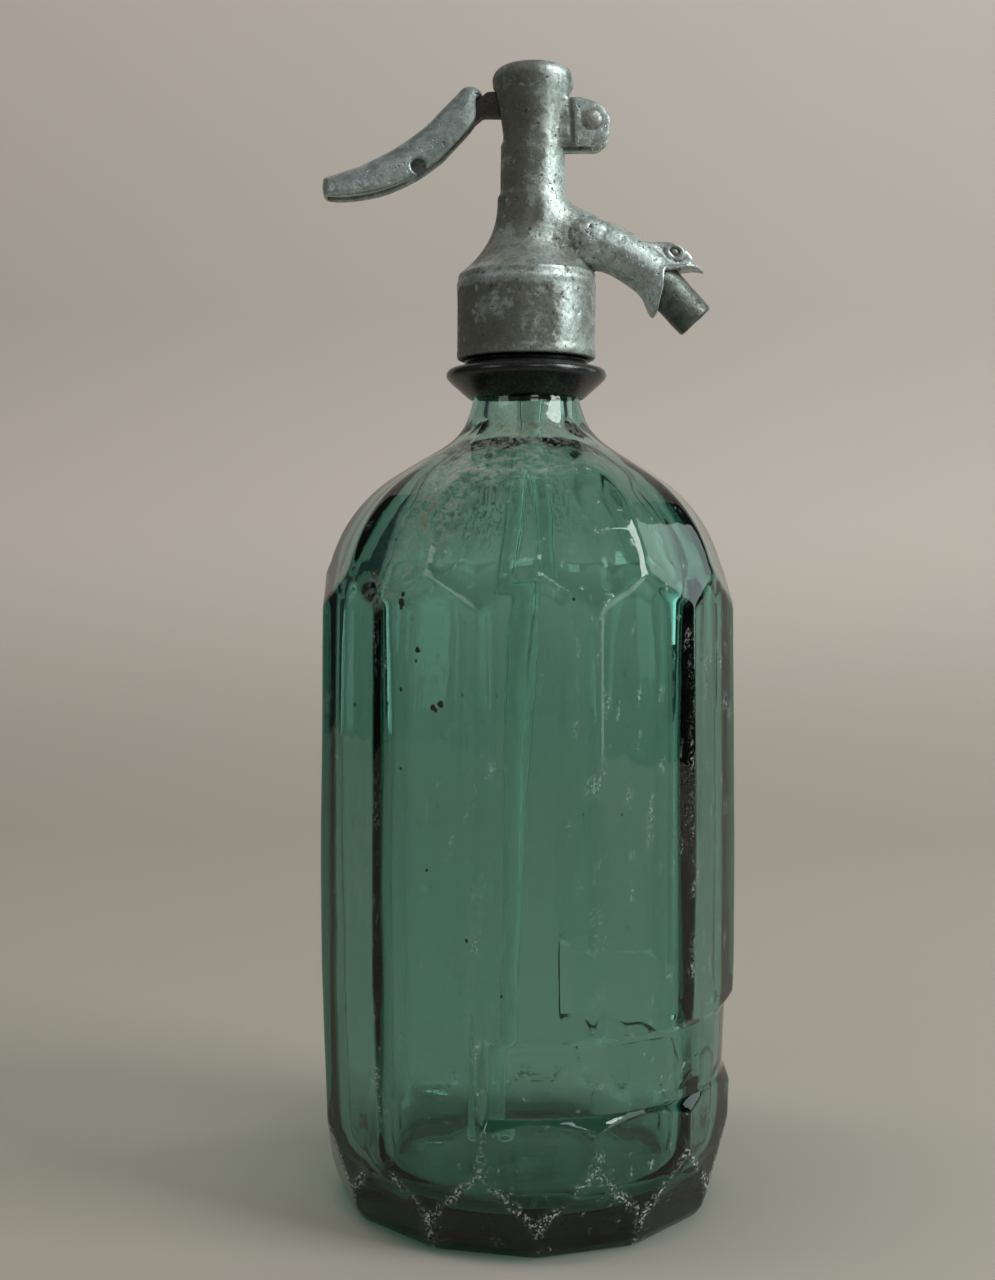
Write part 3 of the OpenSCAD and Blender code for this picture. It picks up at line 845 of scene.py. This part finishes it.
# Pin: a rod with peened, uneven ends
pin_half = (pin_high[1] - pin_low[1]) / 2
pin_r = 2.0
peen = [(0.9, 0.02), (1.6, 0.15), (2.2, 0.42), (2.5, 0.66), (2.5, 0.79)]
pin_profile = [(0.001, -pin_half)] + [(r, rise - pin_half) for r, rise in peen]
pin_profile += [(pin_r, -pin_half + 0.8), (pin_r, 0), (pin_r, pin_half - 0.8)]
pin_profile += [(r, -z) for r, z in reversed(pin_profile[:6])]


def peened(points):
    near_end = smoothstep(pin_half - 0.85, pin_half - 0.5, np.abs(points[:, 2]))
    points[:, 0] *= 1 + near_end * (0.12 * noise3(points, 1.6, 81) - 0.12)
    points[:, 1] *= 1 + near_end * (0.12 * noise3(points, 1.4, 82) + 0.04)
    points[:, 2] -= np.sign(points[:, 2]) * near_end * 0.16 * np.clip(noise3(points, 0.9, 83) + 0.2, 0, 1)
    return points


def on_pin(points):
    return np.stack([PIN_X + points[:, 0], points[:, 2], PIN_Z + points[:, 1]], axis=1)


turned_piece("pivot_pin", pin_profile, "bottle", ["lever_pin"], PIN_METAL,
             place=on_pin, wobble=peened, steps=72)

# Dip tube: leans towards the lever, with softened glass ends
TUBE_R, TUBE_BORE = 3.7, 2.5
TUBE_Z0, TUBE_Z1 = 13.02, 201.7
tube_profile = [(TUBE_BORE + 0.3, TUBE_Z0), (TUBE_R - 0.35, TUBE_Z0), (TUBE_R - 0.08, 13.25), (TUBE_R, 13.6)]
tube_profile += [(TUBE_R, z) for z in np.arange(18, 200, 4.0)]
tube_profile += [(TUBE_R, TUBE_Z1 - 0.3), (TUBE_R - 0.3, TUBE_Z1)]
tube_profile += [(TUBE_BORE + 0.2, TUBE_Z1), (TUBE_BORE, TUBE_Z1 - 0.4)]
tube_profile += [(TUBE_BORE, z) for z in np.arange(197, 17, -4.0)]
tube_profile += [(TUBE_BORE, 13.7), (TUBE_BORE + 0.08, 13.3)]
LEAN = math.radians(2.5)
LEAN_Z = 205.0


def leaning(points):
    x, z = points[:, 0], points[:, 2] - LEAN_Z
    cos_lean, sin_lean = math.cos(LEAN), math.sin(LEAN)
    return np.stack([
        BARREL_X + x * cos_lean + z * sin_lean, points[:, 1], LEAN_Z - x * sin_lean + z * cos_lean,
    ], axis=1)


turned_piece("dip_tube_glass", tube_profile, "bottle", ["dip_tube"], TUBE_GLASS,
             place=leaning, steps=72)

# ---------------- the cast head

ROOT_DIP, NOZZLE_DIP, BEND_R = 15.0, 47.6, 45.0
SPOUT_R = 5.75
root_xz = np.array([13.4, 237.7])


def dip_line(degrees):
    """Direction that dips by so many degrees towards +X, in the XZ plane."""
    return np.array([math.cos(math.radians(degrees)), -math.sin(math.radians(degrees))])


def dip_up(degrees):
    """Direction square to that one, upwards."""
    return np.array([math.sin(math.radians(degrees)), math.cos(math.radians(degrees))])


bend_c = root_xz - BEND_R * dip_up(ROOT_DIP)
bend_end = bend_c + BEND_R * dip_up(NOZZLE_DIP)
root_dir, end_dir = dip_line(ROOT_DIP), dip_line(NOZZLE_DIP)
BEND_LENGTH = BEND_R * math.radians(NOZZLE_DIP - ROOT_DIP)
RIM_CUT = [(31.9, 216), (32.2, 218.6), (32.6, 221.3), (33.5, 224.9), (33.8, 229), (35.5, 229.4),
           (37.1, 229.5), (38.6, 230.1), (41.5, 230.2), (44, 229.2), (54, 222), (40, 204)]
CREST = [(28, 234.6), (30.4, 236.2), (32.5, 236.5), (35.5, 236.35), (38.5, 235.3), (40.1, 233.8),
         (41.2, 232.2), (40.2, 230.4), (38, 229), (34, 227)]
BRIM_X = [33, 36, 37.5, 39, 41, 42.4, 43.4, 43.9]
BRIM_Z = [228.9, 229.4, 229.7, 230.1, 230.2, 229.8, 229.3, 228.9]
BRIM_HALF = [4.8, 5.2, 5.1, 4.9, 4.0, 2.6, 1.2, 0.1]
BOSS_X, BOSS_Z = 36.5, 233.9
LUG = [(6, 267.7), (12.6, 267.7), (16.4, 266.5), (17.5, 264.8), (17.3, 262.7), (16.5, 262.1), (6, 262.2)]
LUG_MARGIN, LUG_HALF = 3.05, 5.2           # how far the ears reach past LUG, and half their width
SKIRT_BORE, SKIRT_CEILING = 15.5, 225
CHAMBER_TOP = 274.2
WATER_R = 2.6
SLOT_Z0, SLOT_Z1, SLOT_X0, SLOT_X1 = 260.6, 273.7, -12, 22
EAR_GAP_Z0, EAR_GAP_X0 = 258.0, 9          # the gap between the ears starts here, lower than the slot


def between(value, low, high):
    """Negative between low and high, positive outside them."""
    return np.abs(value - (low + high) / 2) - (high - low) / 2


def spout_line(x, z):
    """Length along the spout's centre line and distance off it, of either sign, in the XZ plane."""
    s_root, off_root = along(x - root_xz[0], z - root_xz[1], root_dir)
    s_end, off_end = along(x - bend_end[0], z - bend_end[1], end_dir)
    heading = np.arctan2(x - bend_c[0], z - bend_c[1])
    s_arc = BEND_R * (heading - math.radians(ROOT_DIP))
    off_arc = np.hypot(x - bend_c[0], z - bend_c[1]) - BEND_R
    before, after = s_root < 0, s_end > 0
    s = np.where(before, s_root, np.where(after, BEND_LENGTH + s_end, s_arc))
    off = np.where(before, off_root, np.where(after, off_end, off_arc))
    return s, off


def make_head():
    step = 0.34
    f = Field((-19, -19, SKIRT_Z0 - 1.4), (48, 19, HEAD_TOP + 1.6), step)
    side = np.abs(f.y)
    skirt = [(0, SKIRT_Z0), (SKIRT_R - 0.4, SKIRT_Z0), (SKIRT_R, SKIRT_Z0 + 0.4), (SKIRT_R, 209.4)]
    skirt += [(SKIRT_R - 0.12, 209.8), (SKIRT_R - 0.12, 224.9)]
    skirt += [(SKIRT_R, 225.3), (SKIRT_R, 226.4), (SKIRT_R - 0.35, 226.9)]
    skirt += arc((30.4, 247.7), 23.6, 235, 181, 20) + [(0, 247.7)]
    barrel = [(0, 226), (8.06, 226), (7.98, 250), (7.96, 262), (8.1, 264.2)]
    barrel += [(8.42, 266.6), (8.9, 269.2), (9.4, 271.6), (9.8, 273.6)]
    barrel += arc((6.65, DOME_Z), 3.4, 2, 62, 10)
    barrel += [(6.6, DOME_Z + 3.3), (4.4, DOME_Z + 3.6), (0, DOME_Z + 3.75)]
    solid = smin(f.turned(skirt), f.turned(barrel, BARREL_X), 2.0)
    # Ear lug on the spout side
    lug = smax(f.flat(LUG) - LUG_MARGIN, side - LUG_HALF, 0.9)
    solid = smin(solid, lug, 0.7)
    # Spout, thicker at its root and flared to a thin lip
    s, off = spout_line(f.x, f.z)
    to_rim = f.flat(RIM_CUT)
    end = BEND_LENGTH + np.array([-6, -3.5, -1, 1, 3])
    radii = [8.0, 7.3, 6.5, 5.95, SPOUT_R, 5.65, 5.85, 6.65, 7.3, 7.4]
    radius = np.interp(s, [-10, -5, 0, 5, 12, *end], radii)
    lip = 0.45 * near(np.clip(to_rim, 0, None), 0.8) * smoothstep(BEND_LENGTH - 8, BEND_LENGTH - 2, s)
    spout = np.maximum(np.sqrt(off**2 + f.y**2) - (radius + lip), -10 - s)
    # Its end is cut short on the underside; above, the outline of the rim cuts it
    under = along(f.x - bend_end[0], f.z - bend_end[1], end_dir)[1]
    spout = smax(spout, s - BEND_LENGTH - 2.5 - 7 * smoothstep(3, -1, under), 0.9)
    crest = smax(f.flat(CREST), side - 1.9, 0.9)
    spout = smin(spout, crest, 1.4)
    boss_s, boss_off = along(f.x - BOSS_X, f.z - BOSS_Z, (0.91, -0.41))
    boss = np.sqrt((boss_s / 1.35) ** 2 + boss_off**2)
    ring = np.maximum(np.abs(boss - 1.45) - 0.35, side - 2.6)
    knob = np.maximum(boss - 0.55, side - 2.4)
    spout = np.minimum(spout, np.minimum(ring, knob))
    spout = smax(spout, -to_rim, 0.7)
    brim = np.abs(f.z - np.interp(f.x, BRIM_X, BRIM_Z)) - 0.45
    brim = smax(brim, side - np.interp(f.x, BRIM_X, BRIM_HALF), 0.5)
    spout = smin(spout, np.maximum(brim, 34.5 - f.x), 0.6)
    solid = smin(solid, spout, 3.2)
    # Rim of the spout is hollowed behind its lip, then the nozzle's socket and the water way
    nozzle_xz = nozzle_mid[[0, 2]]
    bites = [
        f.rod(nozzle_xz, nozzle_dir[[0, 2]], NOZZLE_R + 0.05, -7.1, 30),
        np.maximum(f.rod(nozzle_xz, nozzle_dir[[0, 2]], NOZZLE_R + 0.75, -6, 30), to_rim - 1.1),
        np.maximum(np.sqrt(off**2 + f.y**2) - WATER_R, -2 - s),
    ]
    from_xz = np.array([BARREL_X, 234.2])
    way = root_xz - from_xz
    bites.append(f.rod(from_xz, way / np.linalg.norm(way), WATER_R, 0, np.linalg.norm(way) + 0.6))
    # Space for the collar, the gland and the plunger
    space = [(0, SKIRT_Z0 - 5), (SKIRT_BORE + 0.4, SKIRT_Z0 - 5), (SKIRT_BORE + 0.4, SKIRT_Z0 + 0.1)]
    space += [(SKIRT_BORE, SKIRT_Z0 + 0.5), (SKIRT_BORE, SKIRT_CEILING), (0, SKIRT_CEILING)]
    bites.append(f.turned(space))
    chamber = [(0, SKIRT_CEILING - 1), (GLAND_R, SKIRT_CEILING - 1), (GLAND_R, GLAND_TOP)]
    chamber += [(PLUNGER_R, GLAND_TOP), (PLUNGER_R, CHAMBER_TOP), (0, CHAMBER_TOP)]
    bites.append(f.turned(chamber, BARREL_X))
    # Slot for the tongue, and the gap between the ears
    half = TONGUE_T / 2 + 0.3
    for z0, x0 in ((SLOT_Z0, SLOT_X0), (EAR_GAP_Z0, EAR_GAP_X0)):
        gap = np.maximum(side - half, between(f.z, z0, SLOT_Z1))
        bites.append(np.maximum(gap, between(f.x, x0, SLOT_X1)))
    bites.append(np.maximum(np.sqrt((f.x - PIN_X) ** 2 + (f.z - PIN_Z) ** 2) - pin_r - 0.03, side - 8))
    for bite in bites:
        solid = np.maximum(solid, -bite)
    # Worn groove where each ear leaves the barrel, and a punch mark beside the pin
    groove = np.sqrt((f.x - 10.9 + (f.z - 265) * 0.06) ** 2 + ((side - 5.6) / 1.1) ** 2) - 0.75
    solid = smax(solid, -np.maximum(groove * 0.9, np.abs(f.z - 265.6) - 5.6), 0.5)
    mark = np.sqrt((f.x - 13.3) ** 2 + (f.y + 5.5) ** 2 + ((f.z - 266.4) / 1.5) ** 2) - 0.62
    solid = smax(solid, -mark, 0.3)
    points, quads = f.mesh(solid.astype(np.float32))
    head = to_object("cast_head", points, quads, "bottle", ["head_casting"], HEAD_METAL)
    p = vertices_of(head)
    x, y, z = p[:, 0], p[:, 1], p[:, 2]
    rho = np.hypot(x, y)
    outside = 1 - smoothstep(16.6, 15.9, rho) * (z < 225.5)
    keep_off = smoothstep(1.0, 3.0, np.hypot(x - PIN_X, z - PIN_Z))
    # Rough, pitted casting about the root of the spout and on the crest
    root = near(x - 15, 6.5) * near(z - 238, 5.5)
    crest_zone = near(x - 37, 4.5) * near(z - 234, 2.8)
    band = smoothstep(208.5, 210.5, z) * smoothstep(225.5, 223.5, z) * (rho > 16)
    cast = 0.06 * fractal(p, 7, 5, 2) + 0.03 * fractal(p, 1.8, 6, 2)
    pits = -0.22 * smoothstep(0.2, 0.8, fractal(p, 1.3, 9, 2))
    amount = cast + pits * (0.95 * root + 0.6 * crest_zone + 0.22 * band + 0.08)
    top = smoothstep(HEAD_TOP - 3, HEAD_TOP, z) * 0.05
    push(head, (amount - top) * outside * keep_off)
    # Painted highlight: grime is taken off towards +X, the lit right side of the skirt's band and lower rim
    lit_side = smoothstep(5, 11, x)
    # Painted shade with grime: darker over the left of the barrel and the head's top above z 237
    barrel_left_shade_and_grime = smoothstep(237, 242, z) * smoothstep(6.5, 2.5, x)
    rims = smoothstep(210, 209, z) * (1 - 0.7 * lit_side)
    grime = band * (1.0 - 1.35 * lit_side) + 0.55 * near(z - 232, 5.5) * (x < 12)
    grime = grime + 0.15 * root + 0.5 * crest_zone + 0.8 * barrel_left_shade_and_grime + 0.7 * rims
    # Painted highlight: worn and ears take grime off the skirt's right edge, the spout's root and the ears'
    # outer faces to make them lighter
    worn = smoothstep(13, 18, x) * (z > 215) * (z < 244)
    ears = smoothstep(11.5, 13, x) * (z > 259) * (np.abs(y) > 3)
    grime = grime - 0.7 * worn - 0.8 * ears
    # Painted shade with some dirt: a dark strip in the corner where each ear leaves the barrel
    grime = grime + 0.6 * near(x - 10.8, 1.3) * (z > 259) * (np.abs(y) > 3.5)
    # Painted shade: a dark stripe down the barrel's front left, the side away from the light
    barrel_shade_streak = near(np.degrees(np.arctan2(x - BARREL_X, -y)) + 22, 14) * (z > 236)
    # The grime attribute carries real grime together with painted highlight (below zero) and painted shade
    set_attribute(head, "grime", np.clip(grime + 0.45 * barrel_shade_streak, -1, 1.4))


make_head()

# ---------------- the lever


UPPER_EDGE = [(-50.1, 252.4)] + arc((-62.5, 309.6), 58.3, -76, -48, 14) + arc((-13.9, 271.4), 3.3, 135, 0, 10)
LOWER_EDGE = [(-10.7, 268.2), (-12.0, 265.7)] + arc((-46.5, 287), 39.8, -49, -91, 16)


HOLE_X, HOLE_Z, HOLE_R = -26.5, 254.7, 1.8


def trough_outline():
    """Outline of the trough under the handle, in the XZ plane."""
    return arc((-62.5, 309.6), 60.6, -77.7, -49, 12) + [
        (-15.4, 271.4), (-13.6, 272.2), (-12.2, 271.1), (-9.4, 273.2), (-9, 262), (-24, 244), (-48.3, 243),
    ]


def in_trough(p):
    """1 at points in the trough under the handle, 0 outside it."""
    return (sd_polygon(p[:, 0], p[:, 2], trough_outline()) < 0.4).astype(float)


def make_handle():
    f = Field((-52, -6.6, 244), (-8.6, 6.6, 277), 0.26)
    half = np.interp(f.x, [-55, -44, -36, -26, -5], [4.95, 4.95, 4.4, 3.7, 3.5])
    below = -f.flat(UPPER_EDGE + [(-9, 236), (-53, 236), (-50.6, 250.0)])
    crown = 3.6 * (np.hypot(np.clip(1 - below / 5.0, 0, None), f.y / half) - 1)
    above = f.flat(LOWER_EDGE + [(-49.8, 247.2), (-51.4, 251), (-56, 290), (-6, 290), (-8, 268)])
    solid = smax(crown, above, 1.2)
    trough = smax(f.flat(trough_outline()), np.abs(f.y) - TONGUE_T / 2 - 0.04, 0.5)
    solid = smax(solid, -trough, 0.4)
    hole = np.maximum(np.hypot(f.x - HOLE_X, f.z - HOLE_Z) - HOLE_R, f.y)
    solid = smax(solid, -hole, 0.5)
    points, quads = f.mesh(solid.astype(np.float32))
    handle = to_object("lever_thumb_handle", points, quads, "lever", ["lever_handle"],
                       HANDLE_METAL)
    p = vertices_of(handle)
    inner = smoothstep(2.9, 2.5, np.abs(p[:, 1])) * in_trough(p)
    rough = 0.09 * fractal(p, 6, 15, 2) - 0.06 * smoothstep(0.45, 0.9, fractal(p, 1.5, 26, 2)) - 0.03
    push(handle, rough * (1 - inner))


make_handle()


def make_tongue():
    f = Field((-24, -3.2, 256), (21, 3.2, 275), 0.3)
    outline = [
        (-13.2, 271.6), (-12.2, 270.8), (-9.6, 272.8), (-5, 273), (2, 272.6), (15, 269.05), (15.8, 261.1),
        (8, 264.2), (1.6, 264.6), (-6, 266.9), (-10.6, 267), (-12.6, 265.4), (-19.4, 259.2), (-22.6, 262.6),
        (-15.3, 271.2),
    ]
    side = np.minimum(f.flat(outline), np.hypot(f.x - PIN_X, f.z - PIN_Z) - 4)
    side = np.minimum(side, np.hypot(f.x - BARREL_X, f.z - 266.5) - 3)
    solid = smax(side, np.abs(f.y) - TONGUE_T / 2, 0.5)
    solid = np.maximum(solid, -(np.hypot(f.x - PIN_X, f.z - PIN_Z) - pin_r - 0.06))
    points, quads = f.mesh(solid.astype(np.float32))
    to_object("lever_flat_tongue", points, quads, "lever", ["lever_tongue"], STEEL)


make_tongue()


def make_spring():
    """A real coil of round wire where the CAD model has stacked rings."""
    turns, wire, around = 4.6, 0.42, 12
    steps = int(turns * 40)
    r = (spring_high[0] - spring_low[0]) / 2 - wire
    z0, z1 = spring_low[2] + wire + 0.02, spring_high[2] - wire - 0.02
    points, faces = [], []
    for i in range(steps + 1):
        t = i / steps
        a = 2 * math.pi * turns * t
        z = z0 + (z1 - z0) * float(smoothstep(0, 1, t) * 0.25 + t * 0.75)
        for j in range(around):
            b = 2 * math.pi * j / around
            q = r + wire * math.cos(b)
            points.append((BARREL_X + q * math.cos(a), q * math.sin(a), z + wire * math.sin(b)))
    for i in range(steps):
        for j in range(around):
            k = (j + 1) % around
            faces.append([i * around + j, i * around + k, (i + 1) * around + k, (i + 1) * around + j])
    faces.append(list(range(around)))
    faces.append(list(range(steps * around, (steps + 1) * around))[::-1])
    spring = to_object("coil_spring", points, faces, "bottle", ["return_spring"], SPRING_WIRE)
    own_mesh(spring)


make_spring()

# ---------------- floor, light and camera


def stage_material(name, floor, wall):
    """Plain matt card, a little darker on the floor than up the backdrop."""
    n = Nodes(name)
    fine = n.noise(3, 3, 0.6)
    broad = n.noise(260, 2, 0.5)
    split = n.add("ShaderNodeSeparateXYZ")
    n.link(n.coords, split.inputs[0])
    tone = n.mix(n.range(split.outputs["Z"], -0.01, 0.2), floor, wall)
    tone = n.mix(n.range(broad, 0.3, 0.7, 0.0, 0.05), tone, (0.3, 0.28, 0.25))
    n.set(Base_Color=tone, Roughness=0.85, Normal=n.bump(fine, 0.15, 0.3))
    return n.material


def make_stage():
    """A pale floor that curves up into the backdrop."""
    back, radius, height, half_width = 0.85, 0.35, 2.0, 1.0
    profile = [(-1.6, 0.0), (back - radius, 0.0)]
    for a in np.radians(range(6, 91, 6)):
        profile.append((back - radius + radius * math.sin(a), radius - radius * math.cos(a)))
    profile += [(back, height)]
    verts, faces = [], []
    for y, z in profile:
        verts += [(-half_width, y, z), (half_width, y, z)]
    for i in range(len(profile) - 1):
        faces.append((2 * i, 2 * i + 1, 2 * i + 3, 2 * i + 2))
    mesh = bpy.data.meshes.new("stage_floor")
    mesh.from_pydata(verts, [], faces)
    for p in mesh.polygons:
        p.use_smooth = True
    floor = in_scene("stage_floor", mesh)
    paint(floor, stage_material("stage", (0.30, 0.275, 0.235), (0.47, 0.415, 0.375)))


make_stage()


def area_light(name, place, target, size, power, colour, only_through_glass=False, mirrored=True):
    light = bpy.data.lights.new(name, "AREA")
    light.shape = "RECTANGLE"
    light.size, light.size_y = size
    light.energy, light.color = power, colour
    obj = in_scene(name, light)
    obj.location = place
    obj.rotation_mode = "QUATERNION"
    obj.rotation_quaternion = (Vector(target) - Vector(place)).to_track_quat("-Z", "Y")
    obj.visible_glossy = mirrored and not only_through_glass
    obj.visible_diffuse = not only_through_glass


WHITE = (1.0, 1.0, 1.0)
area_light("key", (0.95, -0.38, 0.89), (0, 0, 0.17), (0.5, 0.7), 11, (0.93, 1.0, 0.99))
for i, (width, height, power) in enumerate([(0.30, 0.90, 1.7), (0.20, 0.66, 1.3), (0.11, 0.42, 0.9)]):
    area_light("window_%d" % i, (1.09, 0.36, 0.50), (0, 0, 0.2), (width, height), power, (0.80, 1.0, 0.96))
area_light("window_strip", (0.97, -0.53, 0.22), (0, 0, 0.16), (0.17, 0.9), 1.0, (0.88, 1.0, 0.98))
area_light("front_card", (0.40, -1.24, 0.90), (0, 0, 0.25), (0.4, 0.3), 1.7, (0.95, 1.0, 1.0))
area_light("wall_wash", (-0.2, -0.1, 1.9), (-0.1, 0.85, 0.45), (1.6, 0.5), 24, (1.0, 0.98, 0.95),
           mirrored=False)
area_light("fill", (-1.1, -0.9, 0.9), (0, 0, 0.2), (0.6, 0.6), 2.0, (0.95, 0.98, 1.0))
area_light("card_left", (-1.1, 0.25, 0.1), (0, 0, 0.1), (0.25, 0.9), 1.2, WHITE, only_through_glass=True)
area_light("glint", (1.0, -0.40, 0.75), (0, 0, 0.17), (0.1, 0.3), 0.7, WHITE, only_through_glass=True)
bpy.data.objects["key"].visible_transmission = False
bpy.data.objects["wall_wash"].visible_transmission = False

world = bpy.data.worlds.new("studio")
world.use_nodes = True
world.node_tree.nodes["Background"].inputs[0].default_value = (0.9, 0.95, 1.0, 1)
world.node_tree.nodes["Background"].inputs[1].default_value = 0.05
bpy.context.scene.world = world

FOCAL_PX, FRAME_H = 1600, 1280     # focal length and frame height, in pixels of the photo
eye = Vector((0, -0.400, 0.159))
pitch, yaw = math.atan(83 / FOCAL_PX), math.atan(28.5 / FOCAL_PX)
ahead = Vector((-math.sin(yaw) * math.cos(pitch), math.cos(yaw) * math.cos(pitch), -math.sin(pitch)))
camera = in_scene("camera", bpy.data.cameras.new("camera"))
camera.data.sensor_width = 36
camera.data.lens = 36 * FOCAL_PX / FRAME_H
camera.data.clip_start = 0.01
camera.location = eye
camera.rotation_mode = "QUATERNION"
camera.rotation_quaternion = ahead.to_track_quat("-Z", "Y")

scene = bpy.context.scene
scene.camera = camera
scene.view_settings.view_transform = "Standard"
scene.cycles.use_denoising = True
scene.cycles.caustics_reflective = False
scene.cycles.caustics_refractive = False
scene.cycles.max_bounces = 20
scene.cycles.transmission_bounces = 16
scene.cycles.transparent_max_bounces = 12
